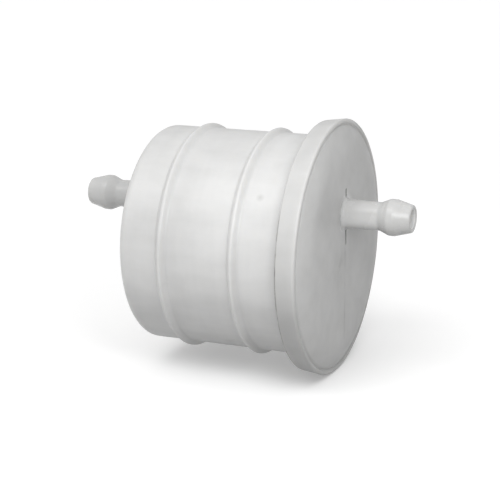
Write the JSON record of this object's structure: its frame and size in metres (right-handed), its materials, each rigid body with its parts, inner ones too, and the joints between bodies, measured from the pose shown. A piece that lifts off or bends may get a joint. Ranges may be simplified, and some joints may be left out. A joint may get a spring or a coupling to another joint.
{
  "type": "in-line fuel filter",
  "caption": "Short round moulded in-line fuel filter: a beaded cup and a wider flat cap, welded round a pleated paper element, with off-centre hose barbs at both ends.",
  "frame": {"origin": "on the housing's axis, halfway between the two beads, in the middle of the band where a clip holds the cup", "axes": "+X along the housing's axis towards the cap and the inlet barb, +Z from the housing's axis up towards the two barbs, +Y completes a right-handed frame"},
  "size_m": [0.0748, 0.0548, 0.0548],
  "materials": {
    "housing_plastic": "satin natural moulded plastic",
    "cap_plastic": "satin natural moulded plastic",
    "weld_plastic": "remelted natural plastic",
    "filter_paper": "resin-treated pleated paper",
    "clip_steel": "tinned strip",
    "cage_plastic": "moulded plastic",
    "disc_plastic": "moulded plastic",
    "bond_adhesive": "set adhesive",
    "seal_rubber": "matt"
  },
  "bodies": {
    "root": {"housing_cup": "housing_plastic", "housing_cap": "cap_plastic", "weld_bead": "weld_plastic", "filter_media": "filter_paper", "media_seam_clip": "clip_steel", "core_cage": "cage_plastic", "end_disc_inlet": "disc_plastic", "end_disc_outlet": "disc_plastic", "bond_inlet": "bond_adhesive", "bond_outlet": "bond_adhesive", "outlet_seal": "seal_rubber"}
  },
  "joints": []
}
